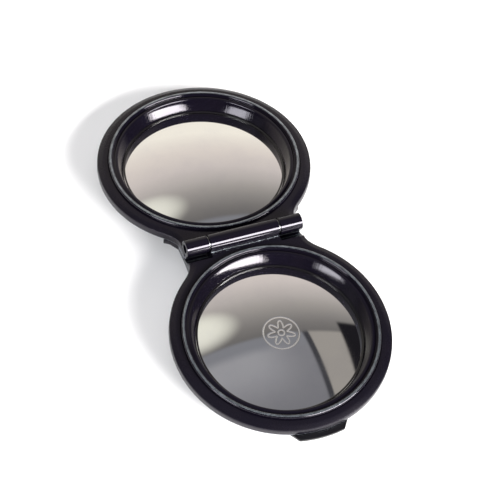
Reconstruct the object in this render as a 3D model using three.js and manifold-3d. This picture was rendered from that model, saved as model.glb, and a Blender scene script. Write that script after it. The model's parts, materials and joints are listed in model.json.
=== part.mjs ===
// Folding pocket mirror: two round dished halves on a three-knuckle hinge, standing open like a low tent.
// Each half is a cast frame with a raised bead round its well, a polished domed mirror that shows inside a
// thin ring at the foot of the well, a foam ring behind the mirror and a snap-in back shell with a thumb tab.
// Millimetres, +Z up. The hinge axis runs along X over the origin, and the part stands on Z = 0.
// Each half is drawn flat in its own axes first: X along the hinge, Y away from it, Z up through the well,
// with the hinge axis through zero, and is then turned into place.

import * as THREE from 'three';
import { mergeVertices } from 'three/addons/utils/BufferGeometryUtils.js';
import Module from 'manifold-3d';

const wasm = await Module();
wasm.setup();

// Driving dimensions.
const TILT = THREE.MathUtils.degToRad(5); // each half leans down this far from the hinge
const DISC_CENTRE = 36.15; // hinge axis to the middle of a half
const OUTER_R = 35.1;
const SEGMENTS = 48;
const CLEARANCE = 0.3; // between pieces that rest on each other

// Heights in a half, measured from the hinge axis.
const BEAD_TOP = -0.15;
const FLANGE_BELOW = -2.75; // underside of the flange
const WALL_FOOT = -4.45; // lower edge of the outer wall
const CONE_FOOT = -4.8; // where the sloping wall of the well ends
const RING_FOOT = -5.2;
const NECK_TOP = -1.5;
const NECK_FOOT = -6.6;
const SHELL_FOOT = -10.4;

// Radii in a half.
const WALL_INNER_R = 33.7;
const BEAD_R = 30.65;
const CONE_TOP_R = 28.15;
const CONE_FOOT_R = 26.65;
const SKIRT_R = 27.9;
const RING_INNER_R = 25.85;
const MIRROR_R = 27.2;
const PAD_R = 25.5;
const PAD_INNER_R = 20;
const FOOT_R = 24.2; // flat floor of the back shell

const MIRROR_EDGE_Z = -5.78;
const MIRROR_DOME_R = 110; // the mirror bulges like part of a ball of this radius
const MIRROR_THICKNESS = 0.6;
const MIRROR_STEPS = 8;
const PAD_TOP = -6.3;
const PAD_FOOT = -9.1;
const FLOOR_INNER = -9.4;

const SHELL_RIM_TOP = -3.3;
const TAB_TOP = WALL_FOOT - CLEARANCE;
const TAB_FOOT = -6.3;
const TAB_R = 36.9;
const TAB_BEVEL_R = 36.2;

// Hinge.
const KNUCKLE_R = 2.65;
const BARREL_HALF = 19.6;
const MIDDLE_HALF = 11.6; // half the length of the middle knuckle
const KNUCKLE_GAP = 0.5;
const OUTER_START = MIDDLE_HALF + KNUCKLE_GAP;
const POCKET_R = 4.85; // room in a neck for the other half's knuckles
const NECK_HALF = BARREL_HALF;
const WEB_FOOT = -4.2;
const LUG_ARC = THREE.MathUtils.degToRad(41.5); // how far the neck's lower lug wraps round the half
const STOP_GAP = 0.17; // from each stop face to the plane between the halves
const PIN_R = 1;
const PIN_BORE_R = 1.07;
const PIN_HALF = 18;
const BUSH_INNER_R = 1.08;
const BUSH_OUTER_R = 1.55;
const BUSH_BORE_R = 1.62;
const BUSH_HALF = 10.8;
const BUSH_SLOT = 0.3; // half the width of the slot that lets the bush spring
const WASHER_R = 2.45;
const WASHER_HALF = 0.15;
const SMALL_SEGMENTS = 24;

const MAGNET = new THREE.Vector3(7, 1.6, 1);
const MAGNET_R = 30.95;
const MAGNET_Z = -3.55;

const blackLacquer = { color: 0x14131a, roughness: 0.32, metalness: 0.1 };
const blackShell = { color: 0x17161c, roughness: 0.45, metalness: 0.05 };
const mirrorSteel = { color: 0xd8d4cc, roughness: 0.05, metalness: 1 };
const brightSteel = { color: 0xb4b6ba, roughness: 0.25, metalness: 1 };
const springBronze = { color: 0xb08a4a, roughness: 0.35, metalness: 1 };
const blackRing = { color: 0x101014, roughness: 0.4, metalness: 0 };
const greyFoam = { color: 0x4c4c50, roughness: 0.95, metalness: 0 };

function vectors(pairs) {
  return pairs.map(([x, y]) => new THREE.Vector2(x, y));
}

// A closed solid from a three.js geometry. Triangles that shrink to a line on the axis are left out.
function solid(geometry) {
  geometry.deleteAttribute('normal');
  geometry.deleteAttribute('uv');
  const merged = mergeVertices(geometry, 1e-4);
  const index = merged.index.array;
  const triangles = [];
  for (let i = 0; i < index.length; i += 3) {
    const [a, b, c] = [index[i], index[i + 1], index[i + 2]];
    if (a !== b && b !== c && c !== a) triangles.push(a, b, c);
  }
  return new wasm.Manifold(new wasm.Mesh({
    numProp: 3,
    vertProperties: new Float32Array(merged.attributes.position.array),
    triVerts: new Uint32Array(triangles),
  }));
}

function mesh(name, body, finish) {
  const { vertProperties, triVerts } = body.getMesh();
  const geometry = new THREE.BufferGeometry();
  geometry.setAttribute('position', new THREE.BufferAttribute(new Float32Array(vertProperties), 3));
  geometry.setIndex(new THREE.BufferAttribute(new Uint32Array(triVerts), 1));
  geometry.computeVertexNormals();
  const result = new THREE.Mesh(geometry, new THREE.MeshStandardMaterial(finish));
  result.name = name;
  return result;
}

// A ring or disc about the middle of a half, from radius and height pairs listed anticlockwise.
function turned(profile) {
  const onAxis = profile[0][0] === 0;
  const points = vectors(onAxis ? profile : [...profile, profile[0]]);
  const geometry = new THREE.LatheGeometry(points, SEGMENTS, Math.PI / SEGMENTS);
  geometry.rotateX(Math.PI / 2);
  geometry.translate(0, DISC_CENTRE, 0);
  return solid(geometry);
}

// An outline in the plane of a half, given thickness between two heights.
function plate(shape, low, high) {
  const geometry = new THREE.ExtrudeGeometry(shape, { depth: high - low, bevelEnabled: false, curveSegments: 8 });
  geometry.translate(0, 0, low);
  return solid(geometry);
}

// An outline across the hinge (distance from the axis, height), drawn out along the hinge.
function alongHinge(shape, start, end) {
  const options = { depth: end - start, bevelEnabled: false, curveSegments: SMALL_SEGMENTS };
  const geometry = new THREE.ExtrudeGeometry(shape, options);
  geometry.translate(0, 0, start);
  const across = new THREE.Vector3(0, 1, 0);
  const up = new THREE.Vector3(0, 0, 1);
  const along = new THREE.Vector3(1, 0, 0);
  geometry.applyMatrix4(new THREE.Matrix4().makeBasis(across, up, along));
  return solid(geometry);
}

function circle(radius) {
  const shape = [];
  for (let i = 0; i < SMALL_SEGMENTS; i += 1) {
    const angle = (i * 2 * Math.PI) / SMALL_SEGMENTS;
    shape.push(new THREE.Vector2(radius * Math.cos(angle), radius * Math.sin(angle)));
  }
  return new THREE.Shape(shape);
}

function rod(radius, start, end) {
  return alongHinge(circle(radius), start, end);
}

// Flange, bead and well wall of a frame, from the foot of the outer wall anticlockwise.
function frameRing() {
  return turned([
    [WALL_INNER_R, WALL_FOOT],
    [OUTER_R, WALL_FOOT],
    [OUTER_R, BEAD_TOP - 2.1],
    [OUTER_R - 0.3, BEAD_TOP - 1.7],
    [OUTER_R - 0.9, BEAD_TOP - 1.45],
    [BEAD_R + 1.8, BEAD_TOP - 1.05],
    [BEAD_R + 0.85, BEAD_TOP - 1.1],
    [BEAD_R + 0.65, BEAD_TOP - 0.4],
    [BEAD_R + 0.3, BEAD_TOP - 0.05],
    [BEAD_R - 0.15, BEAD_TOP],
    [BEAD_R - 0.6, BEAD_TOP - 0.35],
    [BEAD_R - 0.9, BEAD_TOP - 0.9],
    [CONE_TOP_R + 0.9, BEAD_TOP - 0.9],
    [CONE_TOP_R + 0.5, BEAD_TOP - 0.5],
    [CONE_TOP_R, BEAD_TOP - 1],
    [CONE_FOOT_R, CONE_FOOT],
    [CONE_FOOT_R, RING_FOOT],
    [SKIRT_R, RING_FOOT],
    [CONE_TOP_R + 1.7, FLANGE_BELOW],
    [WALL_INNER_R, FLANGE_BELOW],
  ]);
}

// Outline of a neck: straight sides at the barrel that sweep out into the round of the half.
function neckOutline() {
  const meetX = NECK_HALF + 3.6;
  const meetY = DISC_CENTRE - Math.sqrt(OUTER_R ** 2 - meetX ** 2);
  const straight = 4.6;
  const bend = 6.8;
  const shape = new THREE.Shape();
  shape.moveTo(-NECK_HALF, 0);
  shape.lineTo(NECK_HALF, 0);
  shape.lineTo(NECK_HALF, straight);
  shape.quadraticCurveTo(NECK_HALF + 0.1, bend, meetX, meetY);
  shape.lineTo(-meetX, meetY);
  shape.quadraticCurveTo(-NECK_HALF - 0.1, bend, -NECK_HALF, straight);
  shape.closePath();
  return shape;
}

// Part of the round outline under the neck, a little inside the outer wall, with slanted ends.
function lugOutline() {
  const radius = OUTER_R - 0.1;
  const steps = 12;
  const points = [];
  for (let i = 0; i <= steps; i += 1) {
    const angle = -Math.PI / 2 - LUG_ARC + (2 * LUG_ARC * i) / steps;
    points.push(new THREE.Vector2(radius * Math.cos(angle), DISC_CENTRE + radius * Math.sin(angle)));
  }
  return new THREE.Shape(points);
}

// A round bar about the middle of a half, used to cut room for the back shell.
function discCutter(radius, low, high) {
  return turned([[0, low], [radius, low], [radius, high], [0, high]]);
}

// The neck of a frame, which reaches from the barrel to the round of the half. Its lower lug ends in the
// stop face, which meets the other half's when the case is open as far as it goes.
function neck() {
  const reach = OUTER_R;
  const stopTop = STOP_GAP - WEB_FOOT * Math.tan(TILT);
  const stopFoot = STOP_GAP - NECK_FOOT * Math.tan(TILT);
  const stopSide = new THREE.Shape(vectors([
    [stopTop, NECK_TOP],
    [stopTop, WEB_FOOT],
    [stopFoot, NECK_FOOT],
    [reach, NECK_FOOT],
    [reach, NECK_TOP],
  ]));
  const upperPart = plate(neckOutline(), WEB_FOOT, NECK_TOP);
  const lowerPart = plate(neckOutline(), NECK_FOOT, WEB_FOOT).add(plate(lugOutline(), NECK_FOOT, WEB_FOOT));
  return upperPart.add(lowerPart)
    .intersect(alongHinge(stopSide, -OUTER_R, OUTER_R))
    .subtract(discCutter(WALL_INNER_R, NECK_FOOT - 1, FLANGE_BELOW - 0.01))
    .subtract(discCutter(BEAD_R + 0.9, FLANGE_BELOW - 1, 0));
}

// One stretch of the barrel, with the web that carries it on the neck.
function knuckle(start, end) {
  const webSide = new THREE.Shape(vectors([
    [-2.03, -1.7],
    [-0.6, WEB_FOOT],
    [2.2, WEB_FOOT],
    [2.2, NECK_TOP],
    [0, 0],
  ]));
  const web = alongHinge(webSide, start, end).subtract(discCutter(WALL_INNER_R, NECK_FOOT, FLANGE_BELOW));
  return web.add(rod(KNUCKLE_R, start, end));
}

// A whole frame: its own knuckles stand on the neck, and pockets leave room for the other half's.
function frame(name, knuckles, pockets, boreR) {
  let body = frameRing().add(neck());
  for (const [start, end] of pockets) body = body.subtract(rod(POCKET_R, start, end));
  for (const [start, end] of knuckles) body = body.add(knuckle(start, end));
  return mesh(name, body.subtract(rod(boreR, -BARREL_HALF - 1, BARREL_HALF + 1)), blackLacquer);
}

function mirrorRing(name) {
  return mesh(name, turned([
    [RING_INNER_R, RING_FOOT],
    [CONE_FOOT_R - 0.25, RING_FOOT],
    [CONE_FOOT_R - 0.25, CONE_FOOT - 0.05],
    [RING_INNER_R + 0.3, CONE_FOOT - 0.05],
    [RING_INNER_R, CONE_FOOT - 0.2],
  ]), blackRing);
}

function mirror(name) {
  const rise = (radius) => MIRROR_EDGE_Z + (MIRROR_R ** 2 - radius ** 2) / (2 * MIRROR_DOME_R);
  const below = [];
  const above = [];
  for (let i = 0; i <= MIRROR_STEPS; i += 1) {
    const radius = (MIRROR_R * i) / MIRROR_STEPS;
    below.push([radius, rise(radius) - MIRROR_THICKNESS]);
    above.unshift([radius, rise(radius)]);
  }
  return mesh(name, turned([...below, ...above]), mirrorSteel);
}

function mirrorPad(name) {
  return mesh(name, turned([
    [PAD_INNER_R, PAD_FOOT],
    [PAD_R, PAD_FOOT],
    [PAD_R, PAD_TOP],
    [PAD_INNER_R, PAD_TOP],
  ]), greyFoam);
}

// The bowl behind a half, with a rim that snaps inside the outer wall and a thumb tab opposite the hinge.
function backShell(name) {
  const rimR = WALL_INNER_R - CLEARANCE;
  const bowl = turned([
    [0, SHELL_FOOT],
    [FOOT_R, SHELL_FOOT],
    [FOOT_R + 2.6, SHELL_FOOT + 0.45],
    [FOOT_R + 5.5, SHELL_FOOT + 1.9],
    [FOOT_R + 7.9, SHELL_FOOT + 3.55],
    [rimR - 0.2, SHELL_FOOT + 4.8],
    [rimR, TAB_TOP],
    [rimR, SHELL_RIM_TOP],
    [rimR - 1.1, SHELL_RIM_TOP],
    [rimR - 1.2, TAB_TOP - 0.5],
    [FOOT_R + 7, SHELL_FOOT + 3.85],
    [FOOT_R + 4.7, SHELL_FOOT + 2.4],
    [FOOT_R + 2.2, FLOOR_INNER],
    [0, FLOOR_INNER],
  ]);
  const tabRing = turned([
    [rimR - 0.9, TAB_FOOT],
    [TAB_BEVEL_R, TAB_FOOT],
    [TAB_R, TAB_FOOT + 0.7],
    [TAB_R, TAB_TOP],
    [rimR - 0.9, TAB_TOP],
  ]);
  const tabSides = new THREE.Shape(vectors([[-10.6, 32], [10.6, 32], [6.6, 38], [-6.6, 38]]));
  const wedge = plate(tabSides, TAB_FOOT - 1, TAB_TOP + 1).translate([0, DISC_CENTRE, 0]);
  return mesh(name, bowl.add(tabRing.intersect(wedge)), blackShell);
}

function catchMagnet(name) {
  const result = new THREE.Mesh(
    new THREE.BoxGeometry(MAGNET.x, MAGNET.y, MAGNET.z),
    new THREE.MeshStandardMaterial(brightSteel),
  );
  result.name = name;
  result.position.set(0, DISC_CENTRE + MAGNET_R, MAGNET_Z);
  return result;
}

function half(prefix, knuckles, pockets, boreR) {
  const group = new THREE.Group();
  group.add(frame(`${prefix}_frame`, knuckles, pockets, boreR));
  group.add(mirrorRing(`${prefix}_mirror_ring`));
  group.add(mirror(`${prefix}_mirror`));
  group.add(mirrorPad(`${prefix}_mirror_pad`));
  group.add(backShell(`${prefix}_back_shell`));
  group.add(catchMagnet(`${prefix}_catch_magnet`));
  return group;
}

function hingePin() {
  return mesh('hinge_pin', rod(PIN_R, -PIN_HALF, PIN_HALF), brightSteel);
}

// A slotted spring sleeve in the middle knuckle. It grips the pin, so the halves stay where they are put.
function frictionBush() {
  const slot = new THREE.Shape(vectors([
    [-BUSH_SLOT, -BUSH_OUTER_R * 2],
    [BUSH_SLOT, -BUSH_OUTER_R * 2],
    [BUSH_SLOT, 0],
    [-BUSH_SLOT, 0],
  ]));
  const sleeve = rod(BUSH_OUTER_R, -BUSH_HALF, BUSH_HALF).subtract(rod(BUSH_INNER_R, -MIDDLE_HALF, MIDDLE_HALF));
  return mesh('hinge_friction_bush', sleeve.subtract(alongHinge(slot, -MIDDLE_HALF, MIDDLE_HALF)), springBronze);
}

function washer(name, side) {
  const middle = side * (MIDDLE_HALF + KNUCKLE_GAP / 2);
  const disc = rod(WASHER_R, middle - WASHER_HALF, middle + WASHER_HALF);
  return mesh(name, disc.subtract(rod(PIN_BORE_R, middle - KNUCKLE_GAP, middle + KNUCKLE_GAP)), brightSteel);
}

const pastBarrel = BARREL_HALF + 1;
const middle = [[-MIDDLE_HALF, MIDDLE_HALF]];
const outers = [[-BARREL_HALF, -OUTER_START], [OUTER_START, BARREL_HALF]];
const besideMiddle = [[-pastBarrel, -MIDDLE_HALF], [MIDDLE_HALF, pastBarrel]];
const betweenOuters = [[-OUTER_START, OUTER_START]];

const lower = half('lower', middle, besideMiddle, BUSH_BORE_R);
lower.rotateZ(Math.PI);
lower.rotateX(-TILT);

const upper = half('upper', outers, betweenOuters, PIN_BORE_R);
upper.rotateX(-TILT);

const mirrorCase = new THREE.Group();
mirrorCase.add(lower, upper);
mirrorCase.add(hingePin(), frictionBush());
mirrorCase.add(washer('hinge_washer_left', -1), washer('hinge_washer_right', 1));

// Stand the part on the floor.
mirrorCase.updateMatrixWorld(true);
mirrorCase.position.z = -new THREE.Box3().setFromObject(mirrorCase, true).min.z;

export default mirrorCase;
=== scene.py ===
import json
import math

import bmesh
import bpy
import numpy as np
from mathutils import Matrix, Vector


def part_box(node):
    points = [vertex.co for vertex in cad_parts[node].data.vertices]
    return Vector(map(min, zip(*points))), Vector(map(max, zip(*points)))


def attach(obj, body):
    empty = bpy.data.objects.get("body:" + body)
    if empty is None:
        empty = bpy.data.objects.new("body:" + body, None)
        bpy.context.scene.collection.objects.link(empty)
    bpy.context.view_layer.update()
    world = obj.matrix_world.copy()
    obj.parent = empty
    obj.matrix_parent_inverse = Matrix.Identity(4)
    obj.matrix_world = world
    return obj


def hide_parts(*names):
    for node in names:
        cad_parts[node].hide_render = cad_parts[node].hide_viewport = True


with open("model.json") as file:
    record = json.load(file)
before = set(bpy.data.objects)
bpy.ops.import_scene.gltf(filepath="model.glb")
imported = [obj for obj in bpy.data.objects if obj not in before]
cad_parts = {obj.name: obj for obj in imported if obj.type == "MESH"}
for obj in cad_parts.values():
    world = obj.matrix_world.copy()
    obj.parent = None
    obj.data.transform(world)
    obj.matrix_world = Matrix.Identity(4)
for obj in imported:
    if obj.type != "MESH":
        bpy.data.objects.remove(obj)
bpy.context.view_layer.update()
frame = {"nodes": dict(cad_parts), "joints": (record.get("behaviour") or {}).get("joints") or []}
hinge = frame["joints"][0]
hingePoint = Vector(hinge["pos_m"])
lean = (math.radians(hinge["range_deg"][1]) - math.pi) / 2  # each half slopes down this much
mm = 0.001
sides = ("lower", "upper")


def halfPlace(side):
    # a half is drawn flat in millimetres, y away from the hinge and z up through the well
    turn = Matrix.Rotation(math.pi if side == "lower" else 0, 4, "Z")
    return Matrix.Translation(hingePoint) @ turn @ Matrix.Rotation(-lean, 4, "X") @ Matrix.Scale(mm, 4)


def insideHalf(node, side):
    # middle of a node, in its half's own millimetres
    low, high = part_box(node)
    return halfPlace(side).inverted() @ ((low + high) / 2)


discMiddle = insideHalf("upper_mirror_pad", "upper").y
frameLow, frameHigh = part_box("lower_frame")
setBack = 0.02  # keeps the fine frame inside the CAD's outline
outerRadius = (frameHigh.x - frameLow.x) / 2 / mm - setBack
print("frame loaded, each half leans", round(math.degrees(lean), 2), "degrees")


# angles in degrees, distances in metres
cameraSetup = {
    "azimuth": -25.97,
    "elevation": 52.3,
    "roll": 7.17,
    "distance": 0.7537,
    "slideRight": 0.00225,
    "slideDown": 0.00485,
    "lens": 170.9,
}


def towards(azimuth, elevation):
    # azimuth 0 is the side that the lower half points to, 90 the right
    a = math.radians(azimuth)
    e = math.radians(elevation)
    return Vector((math.sin(a) * math.cos(e), -math.cos(a) * math.cos(e), math.sin(e)))


def makeCamera(setup):
    back = towards(setup["azimuth"], setup["elevation"])
    look = (-back).to_track_quat("-Z", "Y").to_matrix().to_4x4()
    look = look @ Matrix.Rotation(math.radians(setup["roll"]), 4, "Z")
    slide = look @ Vector((setup["slideRight"], -setup["slideDown"], 0))
    camera = bpy.data.objects.new("camera", bpy.data.cameras.new("camera"))
    camera.data.lens = setup["lens"]
    camera.data.sensor_width = 36
    camera.data.clip_start = 0.05
    camera.data.clip_end = 50
    camera.matrix_world = Matrix.Translation(hingePoint + back * setup["distance"] + slide) @ look
    bpy.context.scene.collection.objects.link(camera)
    bpy.context.scene.camera = camera


lightBoxes = {
    "front_window": {"azimuth": 31, "elevation": 24.5, "distance": 1.6, "width": 1.24, "height": 0.66,
                     "watts": 112, "colour": (1, 0.985, 0.97), "inGloss": True},
    "left_window": {"azimuth": -65, "elevation": 23, "distance": 1.6, "width": 0.7, "height": 0.64,
                    "watts": 25, "colour": (0.96, 0.98, 1), "inGloss": True},
    "overhead_fill": {"azimuth": -60, "elevation": 65, "distance": 1.8, "width": 2, "height": 2,
                      "watts": 9, "colour": (1, 1, 1), "inGloss": False},
}


def makeLight(name, box):
    light = bpy.data.lights.new(name, "AREA")
    light.shape = "RECTANGLE"
    light.size = box["width"]
    light.size_y = box["height"]
    light.energy = box["watts"]
    light.color = box["colour"]
    lamp = bpy.data.objects.new(name, light)
    away = towards(box["azimuth"], box["elevation"])
    lamp.rotation_euler = away.to_track_quat("Z", "Y").to_euler()
    lamp.location = hingePoint + away * box["distance"]
    lamp.visible_camera = False
    lamp.visible_glossy = box["inGloss"]
    bpy.context.scene.collection.objects.link(lamp)


class Wire:
    # a socket in a node tree: arithmetic on wires and numbers adds Math nodes
    def __init__(self, tree, socket=None):
        self.tree = tree
        self.socket = socket

    def node(self, kind, settings=None, values=None, out=0):
        made = self.tree.nodes.new(kind)
        for key, value in (settings or {}).items():
            if key == "stops":
                fillRamp(made.color_ramp, value)
            else:
                setattr(made, key, value)
        for key, value in (values or {}).items():
            if isinstance(value, Wire):
                self.tree.links.new(value.socket, made.inputs[key])
            else:
                made.inputs[key].default_value = value
        return Wire(self.tree, made.outputs[out] if made.outputs else None)

    def calc(self, operation, first, second):
        return self.node("ShaderNodeMath", {"operation": operation}, {0: first, 1: second})

    def __add__(self, other):
        return self.calc("ADD", self, other)

    def __radd__(self, other):
        return self.calc("ADD", other, self)

    def __sub__(self, other):
        return self.calc("SUBTRACT", self, other)

    def __rsub__(self, other):
        return self.calc("SUBTRACT", other, self)

    def __mul__(self, other):
        return self.calc("MULTIPLY", self, other)

    def __rmul__(self, other):
        return self.calc("MULTIPLY", other, self)

    def __truediv__(self, other):
        return self.calc("DIVIDE", self, other)

    def __rtruediv__(self, other):
        return self.calc("DIVIDE", other, self)


def fillRamp(ramp, stops):
    while len(ramp.elements) < len(stops):
        ramp.elements.new(0.5)
    for element, (position, colour) in zip(ramp.elements, stops):
        element.position = position
        element.color = (*colour, 1)


def step(wire, low, high):
    # 0 below low and 1 above high, smooth between; low above high turns it round
    values = {"Value": wire, "From Min": low, "From Max": high}
    return wire.node("ShaderNodeMapRange", {"interpolation_type": "SMOOTHSTEP"}, values)


def blend(share, first, second):
    colours = [c if isinstance(c, Wire) else (*c, 1) for c in (first, second)]
    values = {0: share, 6: colours[0], 7: colours[1]}  # 6 and 7 are the two colours
    return share.node("ShaderNodeMix", {"data_type": "RGBA"}, values, out=2)


# places in the room are how far right or ahead a mirror looks for each metre up
# a pair is where an edge starts to change and where it has changed
room = {
    "wall": [(0.19, (0.13, 0.125, 0.125)), (0.25, (0.2, 0.19, 0.185)), (0.3, (0.28, 0.265, 0.255)),
             (0.35, (0.37, 0.345, 0.33)), (0.4, (0.47, 0.435, 0.42)), (0.5, (0.62, 0.565, 0.545)),
             (0.675, (0.75, 0.685, 0.64)), (1.0, (0.93, 0.885, 0.8))],
    "wallReach": 2.0,
    "wallSlant": -0.02,  # the wall darkens to the left
    "wallFrom": (0.39, 0.425),
    "corner": (0.215, 0.22, 0.245),
    "cornerFrom": (0.275, 0.355),
    "ceilingNear": (0.32, 0.32, 0.345),
    "ceilingFar": (0.19, 0.19, 0.21),
    "ceilingTurn": (0.24, -0.12),
    "ceilingRight": (0.05, 0.4),
    "ceilingRightShare": 0.8,
    "seam": (0.05, 0.05, 0.058),
    "seamFrom": (0.43, 0.453),
    "door": (0.33, 0.31, 0.29),
    "doorFrom": (0.476, 0.49),
    "panel": (0.012, 0.011, 0.014),
    "panelLeft": 0.675,
    "panelSlant": 0.12,
    "panelSoft": 0.03,
    "panelTop": (0.52, 0.48),
    "lamp": (0.82, 0.815, 0.73),
    "lampAt": (-0.16, 0.6),
    "lampSize": (0.23, 0.161),
    "lampFade": (1.6, 0.0),
    "behind": (0.05, 0.05, 0.06),
    "behindFrom": (-0.1, -0.9),
    "horizon": (0.05, -0.02),
    "lowest": 0.03,  # keeps the division below clear of the horizon
    "seen": (0.93, 0.93, 0.935),
}


def makeRoom(look):
    # what the mirrors see overhead: a pale wall, a ceiling edge, a seam, a door and a dark panel
    world = bpy.data.worlds.new("room")
    bpy.context.scene.world = world
    world.use_nodes = True
    world.node_tree.nodes.clear()
    sheet = Wire(world.node_tree)
    direction = sheet.node("ShaderNodeTexCoord")
    parts = direction.node("ShaderNodeSeparateXYZ", None, {0: direction})
    across, ahead, height = [Wire(parts.tree, socket) for socket in parts.socket.node.outputs]
    high = height.calc("MAXIMUM", height, look["lowest"])
    right = across / high
    far = ahead / high
    shade = (far - right * look["wallSlant"]) / look["wallReach"]
    wall = shade.node("ShaderNodeValToRGB", {"stops": look["wall"]}, {0: shade})
    lampRight = (right - look["lampAt"][0]) / look["lampSize"][0]
    lampFar = (far - look["lampAt"][1]) / look["lampSize"][1]
    lamp = step(lampRight * lampRight + lampFar * lampFar, *look["lampFade"])
    wall = blend(lamp, wall, look["lamp"])
    ceiling = blend(step(far, *look["ceilingTurn"]), look["ceilingNear"], look["ceilingFar"])
    rightShare = step(right, *look["ceilingRight"]) * look["ceilingRightShare"]
    ceiling = blend(rightShare, ceiling, look["ceilingFar"])
    ceiling = blend(step(far, *look["cornerFrom"]), ceiling, look["corner"])
    ceiling = blend(step(right, *look["seamFrom"]), ceiling, look["seam"])
    ceiling = blend(step(right, *look["doorFrom"]), ceiling, look["door"])
    colour = blend(step(far, *look["wallFrom"]), ceiling, wall)
    pastPanel = right - (look["panelLeft"] + far * look["panelSlant"])
    panel = step(pastPanel, 0, look["panelSoft"]) * step(far, *look["panelTop"])
    colour = blend(panel, colour, look["panel"])
    colour = blend(step(far, *look["behindFrom"]), colour, look["behind"])
    colour = blend(step(height, *look["horizon"]), colour, look["behind"])
    toCamera = sheet.node("ShaderNodeLightPath")  # the backdrop behind the floor is plain
    colour = blend(toCamera, colour, look["seen"])
    light = colour.node("ShaderNodeBackground", None, {"Color": colour, "Strength": 1.0})
    light.node("ShaderNodeOutputWorld", None, {"Surface": light})


def newMaterial(name):
    material = bpy.data.materials.new(name)
    material.use_nodes = True
    material.node_tree.nodes.clear()
    return material, Wire(material.node_tree)


def surface(sheet, values):
    shader = sheet.node("ShaderNodeBsdfPrincipled", None, values)
    shader.node("ShaderNodeOutputMaterial", None, {"Surface": shader})


def inMillimetres(sheet):
    # place on the piece itself, so a pattern rides with it
    place = sheet.node("ShaderNodeTexCoord", None, None, out=3)
    return place.node("ShaderNodeVectorMath", {"operation": "SCALE"}, {0: place, "Scale": 1 / mm})


def stretched(place, factors):
    return place.node("ShaderNodeVectorMath", {"operation": "MULTIPLY"}, {0: place, 1: factors})


def grain(place, scale, detail=3, roughness=0.55):
    values = {"Vector": place, "Scale": scale, "Detail": detail, "Roughness": roughness}
    return place.node("ShaderNodeTexNoise", None, values)


def bump(height, distance):
    # distance in millimetres
    return height.node("ShaderNodeBump", None, {"Height": height, "Distance": distance * mm})


def painted(sheet, name, out=2):
    # what is stored on the mesh: output 2 is a number, 1 a vector
    return sheet.node("ShaderNodeAttribute", {"attribute_name": name}, None, out)


floorLook = {
    "size": 2.4,
    "tone": (0.93, 0.93, 0.935),
    "cloudTone": (0.9, 0.9, 0.91),
    "cloudScale": 3,
    "roughness": 0.7,
}


def makeFloor(look):
    material, sheet = newMaterial("pale_table")
    place = sheet.node("ShaderNodeTexCoord", None, None, out=3)
    colour = blend(grain(place, look["cloudScale"]), look["tone"], look["cloudTone"])
    surface(sheet, {"Base Color": colour, "Roughness": look["roughness"]})
    half = look["size"] / 2
    corners = [(-half, -half, 0), (half, -half, 0), (half, half, 0), (-half, half, 0)]
    mesh = bpy.data.meshes.new("floor")
    mesh.from_pydata(corners, [], [(0, 1, 2, 3)])
    mesh.materials.append(material)
    floor = bpy.data.objects.new("floor", mesh)
    bpy.context.scene.collection.objects.link(floor)


bpy.context.scene.view_settings.view_transform = "Standard"
makeCamera(cameraSetup)
for lightName, lightBox in lightBoxes.items():
    makeLight(lightName, lightBox)
makeRoom(room)
makeFloor(floorLook)
print("camera, lights, room and floor ready")


# scales are per millimetre and depths in millimetres
lacquerLook = {
    "black": (0.0019, 0.0016, 0.0042),
    "brown": (0.0032, 0.0024, 0.0042),
    "dust": (0.012, 0.011, 0.014),
    # bare metal: paint rubbed off the bead, and painted highlight lines at the wall's foot and on the web
    # strip
    "bareAndHighlight": (0.34, 0.38, 0.41),
    "satin": 0.27,
    "gloss": 0.085,
    "ior": 1.375,
    "sheen": (0.94, 0.9, 1.0),
    "cloudScale": 0.12,
    "cloudRough": 0.06,
    "fineScale": 9,
    "fineRough": 0.05,
    "fineShare": 0.25,
    "speckScale": 2.6,
    "speckShare": 0.6,
    "wearAndHighlightSpread": 1.3,
    "wearAndHighlightEdge": (0.42, 0.62),
    "bareAndHighlightMetal": 0.9,
    "bareAndHighlightRough": 0.06,
    "patchScale": 0.45,
    "patchEdge": (0.3, 0.7),
    "patchLeast": 0.45,
    "dustScale": 1.3,
    "dustEdge": (0.66, 0.8),
    "dustShare": 0.35,
    "streakScale": 1.6,
    "streakDepth": 0.035,
    "grainDepth": 0.008,
}


def lacquer(look):
    # semi-gloss black, rubbed through to bright metal along the bead; the bright metal at the foot of the
    # flange wall and along the web strip is a painted highlight line
    material, sheet = newMaterial("black_lacquer")
    place = inMillimetres(sheet)
    cloud = grain(place, look["cloudScale"])
    fine = grain(place, look["fineScale"], 4)
    speck = grain(place, look["speckScale"], 6, 0.7)
    # the mask stored on the mesh, broken into speckles: rubbed bead and painted highlight lines
    bareAndHighlight = step(painted(sheet, "rub") + (speck - 0.5) * look["wearAndHighlightSpread"], *look["wearAndHighlightEdge"])
    dust = step(grain(place, look["dustScale"], 8, 0.75), *look["dustEdge"]) * look["dustShare"]
    patch = step(grain(place, look["patchScale"], 5, 0.7), *look["patchEdge"])
    colour = blend(cloud, look["black"], look["brown"])
    colour = blend(dust, colour, look["dust"])
    colour = blend(bareAndHighlight * (look["patchLeast"] + patch * (1 - look["patchLeast"])), colour, look["bareAndHighlight"])
    rough = look["satin"] + painted(sheet, "gloss") * (look["gloss"] - look["satin"])
    rough = rough + (cloud - 0.5) * look["cloudRough"] + (fine - 0.5) * look["fineRough"]
    rough = rough + bareAndHighlight * look["bareAndHighlightRough"]
    streaks = grain(painted(sheet, "spoke", 1), look["streakScale"], 4, 0.6)
    height = fine * look["fineShare"] + speck * bareAndHighlight * look["speckShare"]
    height = height + streaks * painted(sheet, "wall") * (look["streakDepth"] / look["grainDepth"])
    surface(sheet, {"Base Color": colour, "Metallic": bareAndHighlight * look["bareAndHighlightMetal"], "Roughness": rough,
                    "IOR": look["ior"], "Specular Tint": (*look["sheen"], 1),
                    "Normal": bump(height, look["grainDepth"])})
    return material


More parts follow.
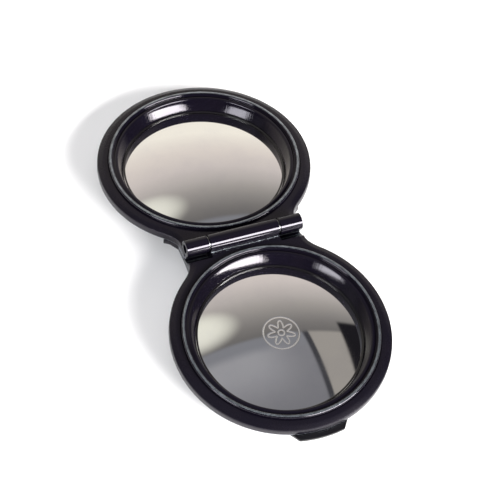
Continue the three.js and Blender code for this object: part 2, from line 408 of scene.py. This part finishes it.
shellLook = {
    "black": (0.0022, 0.002, 0.003),
    # lilac grey: painted highlight on the tab's bottom rim, and rubbed plastic
    "wornAndHighlight": (0.26, 0.25, 0.29),
    "wornAndHighlightShare": 0.8,
    "wornAndHighlightRough": -0.08,
    "wearAndHighlightScale": 2.2,
    "wearAndHighlightSpread": 1.4,
    "wearAndHighlightEdge": (0.55, 0.75),
    "roughness": 0.3,
    "ior": 1.37,
    "cloudScale": 0.2,
    "cloudRough": 0.15,
    "sparkScale": 11,
    "sparkDepth": 0.01,
}


def shellPlastic(look):
    # satin moulding with a very fine spark grain; a pale lilac-grey painted highlight along the tab's
    # bottom rim, and paler speckles where the tab is rubbed
    material, sheet = newMaterial("black_shell")
    place = inMillimetres(sheet)
    spark = grain(place, look["sparkScale"], 2)
    cloud = grain(place, look["cloudScale"])
    speck = grain(place, look["wearAndHighlightScale"], 5, 0.7)
    rub = step(painted(sheet, "rub") + (speck - 0.5) * look["wearAndHighlightSpread"], *look["wearAndHighlightEdge"])
    colour = blend(rub * look["wornAndHighlightShare"], look["black"], look["wornAndHighlight"])
    rough = look["roughness"] + (cloud - 0.5) * look["cloudRough"] + rub * look["wornAndHighlightRough"]
    surface(sheet, {"Base Color": colour, "Roughness": rough, "IOR": look["ior"],
                    "Normal": bump(spark, look["sparkDepth"])})
    return material


mirrorLook = {
    "steel": (0.93, 0.92, 0.9),
    "film": (0.88, 0.87, 0.87),
    "filmShare": 0.6,
    "filmScale": 0.11,
    "filmEdge": (0.4, 0.7),
    "filmRough": 0.02,
    "engraved": (1.0, 0.99, 0.97),
    "engravedRough": 0.3,
    "roughness": 0.035,
    "hairStretch": (0.5, 7, 7),
    "hairScale": 1.4,
    "hairEdge": (0.62, 0.8),
    "hairRough": 0.03,
    "hairDepth": 0.0006,
}


def mirrorSteel(look):
    # polished sheet with a faint film, hairline wipe marks and frosted engraving
    material, sheet = newMaterial("mirror_steel")
    place = inMillimetres(sheet)
    film = step(grain(place, look["filmScale"], 4, 0.6), *look["filmEdge"])
    wipe = stretched(place, look["hairStretch"])
    hair = step(grain(wipe, look["hairScale"], 5, 0.7), *look["hairEdge"])
    engraved = painted(sheet, "engraved")
    colour = blend(film * look["filmShare"], look["steel"], look["film"])
    colour = blend(engraved, colour, look["engraved"])
    rough = look["roughness"] + film * look["filmRough"] + hair * look["hairRough"]
    rough = rough + engraved * look["engravedRough"]
    surface(sheet, {"Base Color": colour, "Metallic": 1.0, "Roughness": rough,
                    "Normal": bump(hair, look["hairDepth"])})
    return material


def plainFinish(name, look):
    # one base colour, broken by grain, with its own gloss
    material, sheet = newMaterial(name)
    marks = grain(stretched(inMillimetres(sheet), look["stretch"]), look["scale"], 5, 0.65)
    colour = blend(marks, look["dark"], look["light"])
    rough = look["roughness"] + (marks - 0.5) * look["spread"]
    surface(sheet, {"Base Color": colour, "Metallic": look["metal"], "Roughness": rough,
                    "Normal": bump(marks, look["depth"])})
    return material


plainLooks = {
    "black_ring": {"dark": (0.002, 0.002, 0.0025), "light": (0.006, 0.005, 0.006), "metal": 0.0,
                   "roughness": 0.14, "spread": 0.1, "stretch": (1, 1, 1), "scale": 3, "depth": 0.004},
    "grey_foam": {"dark": (0.03, 0.03, 0.033), "light": (0.13, 0.13, 0.135), "metal": 0.0,
                  "roughness": 0.92, "spread": 0.1, "stretch": (1, 1, 1), "scale": 5, "depth": 0.12},
    # the steel is drawn much darker than clean steel: painted shade, for the gaps between the knuckles and
    # the pin's hole
    "bright_steel": {"dark": (0.1, 0.1, 0.105), "light": (0.3, 0.3, 0.31), "metal": 1.0,
                     "roughness": 0.3, "spread": 0.2, "stretch": (9, 1, 1), "scale": 2, "depth": 0.006},
    "plated_magnet": {"dark": (0.55, 0.54, 0.52), "light": (0.75, 0.74, 0.72), "metal": 1.0,
                      "roughness": 0.16, "spread": 0.15, "stretch": (1, 1, 1), "scale": 1.5,
                      "depth": 0.003},
    "spring_bronze": {"dark": (0.36, 0.22, 0.08), "light": (0.66, 0.45, 0.2), "metal": 1.0,
                      "roughness": 0.32, "spread": 0.2, "stretch": (1, 6, 6), "scale": 2, "depth": 0.006},
}

finishes = {name: plainFinish(name, look) for name, look in plainLooks.items()}
finishes["black_lacquer"] = lacquer(lacquerLook)
finishes["black_shell"] = shellPlastic(shellLook)
finishes["mirror_steel"] = mirrorSteel(mirrorLook)
print("finishes ready:", ", ".join(sorted(finishes)))


# mesh tools work in a half's own millimetres
def solid(name, points, faces):
    mesh = bpy.data.meshes.new(name)
    mesh.from_pydata([tuple(p) for p in points], [], faces)
    shape = bmesh.new()
    shape.from_mesh(mesh)
    bmesh.ops.recalc_face_normals(shape, faces=shape.faces)
    shape.to_mesh(mesh)
    shape.free()
    made = bpy.data.objects.new(name, mesh)
    bpy.context.scene.collection.objects.link(made)
    return made


def softened(corners, steps=5):
    # corners are (radius, height, how much to round); each rounded one becomes a short curve
    line = []
    for i, (x, y, soft) in enumerate(corners):
        here = Vector((x, y))
        before = Vector(corners[i - 1][:2]) - here
        after = Vector(corners[(i + 1) % len(corners)][:2]) - here
        if soft == 0:
            line.append(here)
            continue
        start = here + before.normalized() * min(soft, before.length * 0.49)
        end = here + after.normalized() * min(soft, after.length * 0.49)
        for k in range(steps + 1):
            t = k / steps
            line.append(start * (1 - t) ** 2 + here * 2 * t * (1 - t) + end * t ** 2)
    return line


def turned(name, line, steps=240):
    # a closed section, taken round the middle of the half
    points = []
    for k in range(steps):
        a = 2 * math.pi * k / steps
        points += [(p[0] * math.cos(a), discMiddle + p[0] * math.sin(a), p[1]) for p in line]
    count = len(line)
    faces = []
    for k in range(steps):
        for i in range(count):
            j = (i + 1) % count
            n = (k + 1) % steps
            faces.append((k * count + i, k * count + j, n * count + j, n * count + i))
    return solid(name, points, faces)


def stacked(name, rings):
    # closed outlines joined one above the other, with a flat face at each end
    count = len(rings[0])
    points = [p for ring in rings for p in ring]
    faces = [tuple(range(count))[::-1], tuple(range(len(points) - count, len(points)))]
    for level in range(len(rings) - 1):
        for i in range(count):
            j = (i + 1) % count
            low = level * count
            faces.append((low + i, low + j, low + count + j, low + count + i))
    return solid(name, points, faces)


def pulledIn(outline, distance):
    # an anticlockwise outline, moved inwards along its normals
    points = [Vector(p) for p in outline]
    result = []
    for i, p in enumerate(points):
        along = (points[(i + 1) % len(points)] - p).normalized() + (p - points[i - 1]).normalized()
        along.normalize()
        result.append(p + Vector((-along.y, along.x)) * distance)
    return result


def layered(name, outline, levels):
    rings = []
    for height, inset in levels:
        rings.append([(p.x, p.y, height) for p in pulledIn(outline, inset)])
    return stacked(name, rings)


def bar(name, section, start, end):
    # a section across the hinge (y, z), drawn out along it
    return stacked(name, [[(x, p[0], p[1]) for p in section] for x in (start, end)])


def rod(name, radius, start, end, chamfer=0.0, steps=96):
    # a round bar along the hinge
    ends = [(start, radius - chamfer), (end, radius - chamfer)]
    if chamfer:
        ends[1:1] = [(start + chamfer, radius), (end - chamfer, radius)]
    rings = []
    for x, r in ends:
        turn = [2 * math.pi * k / steps for k in range(steps)]
        rings.append([(x, r * math.cos(a), r * math.sin(a)) for a in turn])
    return stacked(name, rings)


def disc(name, radius, low, high, steps=240):
    turn = [2 * math.pi * k / steps for k in range(steps)]
    around = [(radius * math.cos(a), discMiddle + radius * math.sin(a)) for a in turn]
    return stacked(name, [[(x, y, z) for x, y in around] for z in (low, high)])


def combine(body, tool, operation):
    change = body.modifiers.new("combine", "BOOLEAN")
    change.operation = operation
    change.solver = "EXACT"
    change.object = tool
    shown = body.evaluated_get(bpy.context.evaluated_depsgraph_get())
    result = bpy.data.meshes.new_from_object(shown)
    body.modifiers.clear()
    body.data = result
    bpy.data.objects.remove(tool)
    return body


def vertexPlaces(piece):
    # with the middle of the half as origin
    places = np.empty(len(piece.data.vertices) * 3)
    piece.data.vertices.foreach_get("co", places)
    return places.reshape(-1, 3) - (0, discMiddle, 0)


def mask(piece, name, measure):
    # a number from 0 to 1 at each vertex, worked out from its place
    layer = piece.data.attributes.new(name, "FLOAT", "POINT")
    values = np.clip(measure(*vertexPlaces(piece).T), 0, 1)
    layer.data.foreach_set("value", values.astype(np.float32))


def spokes(piece, length):
    # direction from the middle of the half, so streaks can run down the slope of the well wall
    layer = piece.data.attributes.new("spoke", "FLOAT_VECTOR", "POINT")
    places = vertexPlaces(piece)
    places[:, 2] = 0
    places *= length / np.maximum(np.hypot(places[:, 0], places[:, 1]), 1)[:, None]
    layer.data.foreach_set("vector", places.ravel().astype(np.float32))


def fitPiece(piece, side, body, finish, replaced, sharp=28):
    # moves a finished piece from its half's millimetres into the frame and dresses it
    piece.data.transform(halfPlace(side))
    piece.data.update()
    piece.data.shade_smooth()
    piece.data.set_sharp_from_angle(angle=math.radians(sharp))
    piece.data.materials.clear()
    piece.data.materials.append(finishes[finish])
    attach(piece, body)
    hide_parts(replaced)


def near(value, middle, width):
    # 1 at the middle, 0 at a width away
    return np.clip(1 - np.abs(value - middle) / width, 0, 1)


# heights are from the hinge's axis, radii from the middle of the half
frameLook = {
    "top": -1.3,
    "wallFoot": -4.45,
    "wallInside": 33.6,
    "underFlange": -2.75,
    "grooveRadius": 31.6,
    "beadRadius": 30.65,
    "beadTop": -0.17,
    "lipRadius": 28.65,
    "lipTop": -0.72,
    "coneTop": 28.2,
    "coneFoot": 26.65,
    "coneFootHeight": -4.8,
    "skirtFoot": -5.2,
    "skirtRadius": 27.9,
    "neckHalf": 19.6,
    "neckStart": -4,
    "neckStraight": 4.6,
    "neckBend": 6.8,
    "neckSpread": 3.6,
    "neckFoot": -6.6,
    "blockInset": 0.06,
    "blockReach": 9.5,
    "lugRadius": 34.9,
    "lugArc": 41.5,
    "stopGap": 0.54,
    "stopFootGap": 0.75,
    "cutLow": -9,
    "cutHigh": 2,
    "cutAside": 60,
    "cutFar": 80,
    "spokeLength": 30,
}
barrelLook = {
    "radius": 2.64,
    "half": 19.55,
    "middleHalf": 11.6,
    "gap": 0.5,
    "chamfer": 0.12,
    "pocket": 4.85,
    "webFoot": -4.2,
    "pinBore": 1.07,
    "bushBore": 1.62,
    "endRecess": 1.5,
    "endRecessDepth": 0.9,
}


def caseOutline(look, steps=200):
    # the round of the half with the neck swept out of it, anticlockwise
    meetX = look["neckHalf"] + look["neckSpread"]
    meetY = discMiddle - math.sqrt(outerRadius ** 2 - meetX ** 2)
    first = Vector((look["neckHalf"], look["neckStraight"]))
    middle = Vector((look["neckHalf"] + 0.1, look["neckBend"]))
    last = Vector((meetX, meetY))
    right = [Vector((look["neckHalf"], look["neckStart"])), Vector((look["neckHalf"], 2))]
    bendSteps = 12
    for k in range(bendSteps + 1):
        t = k / bendSteps
        right.append(first * (1 - t) ** 2 + middle * 2 * t * (1 - t) + last * t ** 2)
    begin = math.atan2(meetY - discMiddle, meetX)
    sweep = math.pi - 2 * begin
    turn = [begin + sweep * k / steps for k in range(1, steps)]
    around = [Vector((outerRadius * math.cos(a), discMiddle + outerRadius * math.sin(a))) for a in turn]
    left = [Vector((-p.x, p.y)) for p in reversed(right)]
    return right + around + left


def neckBlock(look):
    # the deep part of the neck under the flange, with its stop lug
    slim = look["neckHalf"] - look["blockInset"]
    wide = look["neckHalf"] + look["neckSpread"] * 0.6
    start = look["neckStart"]
    bend = look["neckBend"] - 0.8
    reach = look["blockReach"]
    outline = [(-slim, start), (slim, start), (slim, bend), (wide, reach), (-wide, reach), (-slim, bend)]
    foot = look["neckFoot"]
    wall = look["wallFoot"]
    block = layered("neck", [Vector(p) for p in outline], [(foot, 0), (wall + 0.2, 0)])
    steps = 30
    turn = [math.radians(-90 + look["lugArc"] * k / steps) for k in range(-steps, steps + 1)]
    radius = look["lugRadius"]
    arc = [Vector((radius * math.cos(a), discMiddle + radius * math.sin(a))) for a in turn]
    levels = [(foot - 0.01, 0.4), (foot + 0.12, 0.12), (foot + 0.35, 0), (wall - 0.3, 0),
              (wall - 0.2, 0.3), (wall + 0.15, 0.3)]
    return combine(block, layered("lug", arc, levels), "UNION")


def wellRing(look):
    bead = look["beadRadius"]
    top = look["beadTop"]
    groove = look["top"] - 0.22
    return turned("well", softened([
        (32.3, -2.6, 0),
        (32.3, groove - 0.15, 0),
        (look["grooveRadius"] + 0.2, groove - 0.1, 0),
        (bead + 0.72, groove, 0.1),
        (bead + 0.62, top - 0.05, 0.7),
        (bead - 0.6, top + 0.03, 0.7),
        (bead - 0.85, top - 0.9, 0.12),
        (bead - 1.2, top - 0.84, 0.12),
        (look["lipRadius"] + 0.25, look["lipTop"], 0.25),
        (look["coneTop"], look["lipTop"] - 0.12, 0.3),
        (look["coneFoot"] + 0.5, look["coneFootHeight"] + 1.35, 1.2),
        (look["coneFoot"], look["coneFootHeight"], 0.06),
        (look["coneFoot"], look["skirtFoot"], 0),
        (look["skirtRadius"], look["skirtFoot"], 0.3),
        (29.85, -2.85, 0.6),
    ]))


# bare metal where the paint is rubbed off the bead, and a painted highlight line along the foot of the
# flange wall
def frameRubAndHighlight(x, y, z):
    r = np.hypot(x, y)
    onBead = near(r, frameLook["beadRadius"], 0.55) * near(z, frameLook["beadTop"], 0.45)
    # painted highlight along the rounded foot of the wall, brighter by the tab, with some wear
    lowerEdge = near(z, frameLook["wallFoot"] + 0.2, 0.36) * (r > frameLook["lugRadius"] - 0.2)
    byTab = near(x, 0, 15) * (y > 0)
    return np.maximum(onBead * 1.2, lowerEdge * (0.75 + 0.5 * byTab))


def onWall(x, y, z):
    return (frameLook["lipRadius"] + 0.3 - np.hypot(x, y)) / 0.4


def frameGloss(x, y, z):
    # inside the bead and on the barrel it is polished, the flange is satin
    inside = (frameLook["grooveRadius"] - np.hypot(x, y)) / 0.4
    barrel = (barrelLook["radius"] + 0.05 - y - discMiddle) / 0.05
    return np.maximum(inside, barrel)


# a painted highlight line, drawn as speckles of bare metal, along the lower edge of the middle knuckle's
# web
def webHighlight(x, y, z):
    hingeSide = y + discMiddle
    return 0.6 * near(hingeSide, 2.82, 0.12) * near(z, -1.28, 0.2) * (np.abs(x) < barrelLook["middleHalf"])


def openWell(piece, look):
    # clears the hollow under the flange and the well itself
    hollow = disc("hollow", look["wallInside"], look["cutLow"], look["underFlange"])
    opening = disc("opening", look["grooveRadius"], look["cutLow"], look["cutHigh"])
    return combine(combine(piece, hollow, "DIFFERENCE"), opening, "DIFFERENCE")


def makeFrame(side):
    look = frameLook
    part = barrelLook
    wall = look["wallFoot"]
    # height and how far the outline is pulled in, from the foot of the wall up over the flange
    levels = [(wall, 0.32), (wall + 0.06, 0.16), (wall + 0.17, 0.05), (wall + 0.34, 0), (wall + 0.62, 0),
              (-2.5, 0), (-2.2, 0.05), (-1.98, 0.17), (-1.84, 0.42), (-1.46, 1.5), (-1.36, 1.75),
              (look["top"], 2.05)]
    body = layered(side + "_frame_fine", caseOutline(look), levels)
    body = combine(body, neckBlock(look), "UNION")
    body = openWell(body, look)
    low = look["cutLow"]
    high = look["cutHigh"]
    stop = [(look["stopGap"], high), (look["stopGap"], part["webFoot"]),
            (look["stopFootGap"], look["neckFoot"] - 0.1), (look["stopFootGap"], low),
            (look["cutFar"], low), (look["cutFar"], high)]
    body = combine(body, bar("stop", stop, -look["cutAside"], look["cutAside"]), "INTERSECT")
    body = combine(body, wellRing(look), "UNION")
    past = look["neckHalf"] + 1
    middle = part["middleHalf"]
    inner = middle + part["gap"]
    if side == "lower":
        own = [(-middle, middle)]
        other = [(-past, -middle), (middle, past)]
    else:
        own = [(-part["half"], -inner), (inner, part["half"])]
        other = [(-inner, inner)]
    for start, end in other:
        body = combine(body, rod("pocket", part["pocket"], start, end), "DIFFERENCE")
    webs = [(-1.95, -1.7), (-0.6, part["webFoot"]), (2.7, part["webFoot"]), (2.86, look["top"] - 0.02),
            (2.82, look["top"] + 0.03), (2.3, -1.14), (1, 0.3)]
    for start, end in own:
        web = bar("web", webs, start + 0.03, end - 0.03)
        body = combine(body, openWell(web, look), "UNION")
        body = combine(body, rod("knuckle", part["radius"], start, end, part["chamfer"]), "UNION")
    bore = part["bushBore"] if side == "lower" else part["pinBore"]
    body = combine(body, rod("bore", bore, -past, past), "DIFFERENCE")
    if side == "upper":
        for hand in (-1, 1):
            tip = sorted((hand * (part["half"] - part["endRecessDepth"]), hand * past))
            body = combine(body, rod("recess", part["endRecess"], *tip), "DIFFERENCE")
    if side == "lower":
        mask(body, "rub", lambda x, y, z: np.maximum(frameRubAndHighlight(x, y, z), webHighlight(x, y, z)))
    else:
        mask(body, "rub", frameRubAndHighlight)
    mask(body, "gloss", frameGloss)
    mask(body, "wall", onWall)
    spokes(body, look["spokeLength"])
    fitPiece(body, side, side + "_half", "black_lacquer", side + "_frame")
    return body


for side in sides:
    made = makeFrame(side)
    print(made.name, len(made.data.polygons), "faces")


mirrorShape = {
    "radius": 27.15,
    "edge": -5.62,
    "dome": 110,
    "thickness": 0.6,
    "engravedStep": 0.075,  # finer where the mark is cut
    "plainStep": 1.0,
    "centreReach": 6.6,
    "outerRings": 30,
    "steps": 288,
}
engraving = {
    "ring": 5.7,
    "petals": 7,
    "petalRadius": 3.25,
    "petalSwing": 1.15,
    "eye": 1.0,
    "width": 0.2,
    "depth": 0.035,
}


def engravedAt(x, y):
    # a plain ring round a small rosette
    r = np.hypot(x, y)
    a = np.arctan2(y, x)
    swing = engraving["petalSwing"] * np.cos(engraving["petals"] * a)
    slope = engraving["petalSwing"] * engraving["petals"] * np.sin(engraving["petals"] * a)
    middle = engraving["petalRadius"] + swing
    petal = np.abs(r - middle) / np.sqrt(1 + (slope / np.maximum(middle, 0.5)) ** 2)
    distance = np.minimum(np.minimum(np.abs(r - engraving["ring"]), petal), np.abs(r - engraving["eye"]))
    t = np.clip(1.6 - distance / engraving["width"], 0, 1)
    return t * t * (3 - 2 * t)


def makeMirror(side):
    look = mirrorShape
    pitch = look["engravedStep"] if side == "lower" else look["plainStep"]
    radii = list(np.arange(pitch, look["centreReach"], pitch))
    radii += list(np.linspace(radii[-1] + 0.5, look["radius"], look["outerRings"]))
    steps = look["steps"]
    turn = np.arange(steps) * 2 * math.pi / steps
    lift = look["edge"] + look["radius"] ** 2 / (2 * look["dome"])
    points = [(0, discMiddle, lift)]
    for r in radii:
        x = r * np.cos(turn)
        y = r * np.sin(turn)
        z = np.full(steps, lift - r * r / (2 * look["dome"]))
        if side == "lower":
            z = z - engraving["depth"] * engravedAt(x, y)
        points += list(zip(x, y + discMiddle, z))
    rings = len(radii)
    faces = [(0, 1 + k, 1 + (k + 1) % steps) for k in range(steps)]
    for i in range(rings - 1):
        for k in range(steps):
            n = (k + 1) % steps
            low = 1 + i * steps
            faces.append((low + k, low + steps + k, low + steps + n, low + n))
    top = len(points)
    for r in (look["radius"], look["radius"] * 0.6):
        z = lift - r * r / (2 * look["dome"]) - look["thickness"]
        points += [(r * math.cos(a), discMiddle + r * math.sin(a), z) for a in turn]
    for low, high in ((top - steps, top), (top, top + steps)):
        for k in range(steps):
            n = (k + 1) % steps
            faces.append((low + k, high + k, high + n, low + n))
    points.append((0, discMiddle, lift - look["thickness"]))
    faces += [(len(points) - 1, top + steps + (k + 1) % steps, top + steps + k) for k in range(steps)]
    mirror = solid(side + "_mirror_fine", points, faces)
    if side == "lower":
        mask(mirror, "engraved", lambda x, y, z: engravedAt(x, y) * (z > look["edge"]))
    else:
        mask(mirror, "engraved", lambda x, y, z: x * 0)
    fitPiece(mirror, side, side + "_half", "mirror_steel", side + "_mirror")


ringShape = {
    "inner": 25.85,
    "crest": 26.1,
    "sideGap": 0.22,
    "foot": -5.19,
    "innerTop": -5.1,
    "crestTop": -4.93,
    "outerTop": -4.86,
}


def makeMirrorRing(side):
    # a thin ring that slopes down to the mirror
    look = ringShape
    outer = frameLook["coneFoot"] - look["sideGap"]
    ring = turned(side + "_mirror_ring_fine", softened([
        (look["inner"], look["foot"], 0.03),
        (outer, look["foot"], 0.03),
        (outer, look["outerTop"], 0.06),
        (look["crest"], look["crestTop"], 0.15),
        (look["inner"], look["innerTop"], 0.05),
    ]))
    fitPiece(ring, side, side + "_half", "black_ring", side + "_mirror_ring")


for side in sides:
    makeMirror(side)
    makeMirrorRing(side)
print("mirrors and their rings made")


shellShape = {
    "foot": -10.4,
    "footRadius": 24.2,
    "rim": 33.35,
    "rimTop": -3.3,
    "tabTop": -4.78,
    "tabFoot": -6.28,
    "tabRadius": 36.85,
    "tabHalfIn": 11.2,
    "tabHalfOut": 7.4,
    "tabInner": 32.6,
    "tabShift": -0.6,
    "tabCorner": 0.7,
    "floorThick": 1,
    "floorHole": 2,
}


def shellTab(look):
    # tongue under the rim opposite the hinge, slanted at its ends
    outer = look["tabRadius"]
    corner = math.asin(look["tabHalfOut"] / outer)
    steps = 24
    turn = [math.pi / 2 - corner + 2 * corner * k / steps for k in range(steps + 1)]
    arc = [(outer * math.cos(a), outer * math.sin(a), 0) for a in turn]
    arc[0] = (*arc[0][:2], look["tabCorner"])
    arc[-1] = (*arc[-1][:2], look["tabCorner"])
    sideIn = math.sqrt(look["tabInner"] ** 2 - look["tabHalfIn"] ** 2)
    outline = [(-look["tabHalfIn"], sideIn, 0), (look["tabHalfIn"], sideIn, 0), *arc]
    line = [Vector((p.x + look["tabShift"], p.y + discMiddle)) for p in softened(outline)]
    foot = look["tabFoot"]
    top = look["tabTop"]
    levels = [(foot, 0.75), (foot + 0.05, 0.5), (foot + 0.16, 0.28), (foot + 0.38, 0.08), (foot + 0.6, 0),
              (top - 0.2, 0), (top - 0.05, 0.08), (top, 0.22)]
    return layered("tab", line, levels)


def makeShell(side):
    look = shellShape
    foot = look["foot"]
    low = look["footRadius"]
    rim = look["rim"]
    hole = look["floorHole"]
    floorTop = foot + look["floorThick"]
    # the bowl is turned with a small hole in its floor, which a plain disc then fills
    bowl = turned(side + "_back_shell_fine", softened([
        (hole, foot, 0),
        (low, foot, 1.2),
        (low + 5.3, foot + 1.5, 3.5),
        (rim - 0.5, foot + 4.4, 1.6),
        (rim, look["tabTop"], 0.2),
        (rim, look["rimTop"], 0.15),
        (rim - 1.1, look["rimTop"], 0.15),
        (rim - 1.2, look["tabTop"] - 0.5, 0.4),
        (low + 7, foot + 3.85, 0.8),
        (low + 4.7, foot + 2.4, 0.8),
        (low + 2.2, floorTop, 0.8),
        (hole, floorTop, 0),
    ]))
    bowl = combine(bowl, disc("floor_disc", hole + 1, foot, floorTop), "UNION")
    bowl = combine(bowl, shellTab(look), "UNION")

    def tabRubAndHighlight(x, y, z):
        r = np.hypot(x, y)
        # a painted highlight line along the tab's bottom rim; rubbed speckles on its upper edge and round
        # the foot of the bowl
        edge = 1.2 * near(r, look["tabRadius"] - 0.2, 0.9) * near(z, look["tabFoot"] + 0.18, 0.3)
        edge = np.maximum(edge, near(r, 35.3, 0.5) * near(z, look["tabTop"], 0.3))
        underside = near(r, low, 1.4) * near(z, foot, 0.5)
        return np.maximum(edge, underside * 0.8)

    mask(bowl, "rub", tabRubAndHighlight)
    fitPiece(bowl, side, side + "_half", "black_shell", side + "_back_shell")


for side in sides:
    makeShell(side)
print("back shells made")


# washers between the knuckles, set back a little from the barrel's skin
washerShape = {"radius": 2.2, "bore": 1.09, "chamfer": 0.05, "sideGap": 0.01}


def makeWasher(node):
    look = washerShape
    low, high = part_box(node)
    start = low.x / mm + look["sideGap"]
    end = high.x / mm - look["sideGap"]
    washer = rod(node + "_fine", look["radius"], start, end, look["chamfer"])
    washer = combine(washer, rod("bore", look["bore"], start - 1, end + 1), "DIFFERENCE")
    fitPiece(washer, "upper", "lower_half", "bright_steel", node)


for washerName in ("hinge_washer_left", "hinge_washer_right"):
    makeWasher(washerName)
print("hinge washers made")

# CAD nodes that stay as they are and take a finish
keptNodes = {
    "grey_foam": ["lower_mirror_pad", "upper_mirror_pad"],
    "plated_magnet": ["lower_catch_magnet", "upper_catch_magnet"],
    "spring_bronze": ["hinge_friction_bush"],
    "bright_steel": ["hinge_pin"],
}
for finish, nodes in keptNodes.items():
    for node in nodes:
        kept = frame["nodes"][node]
        kept.data.materials.clear()
        kept.data.materials.append(finishes[finish])
print("kept nodes dressed")
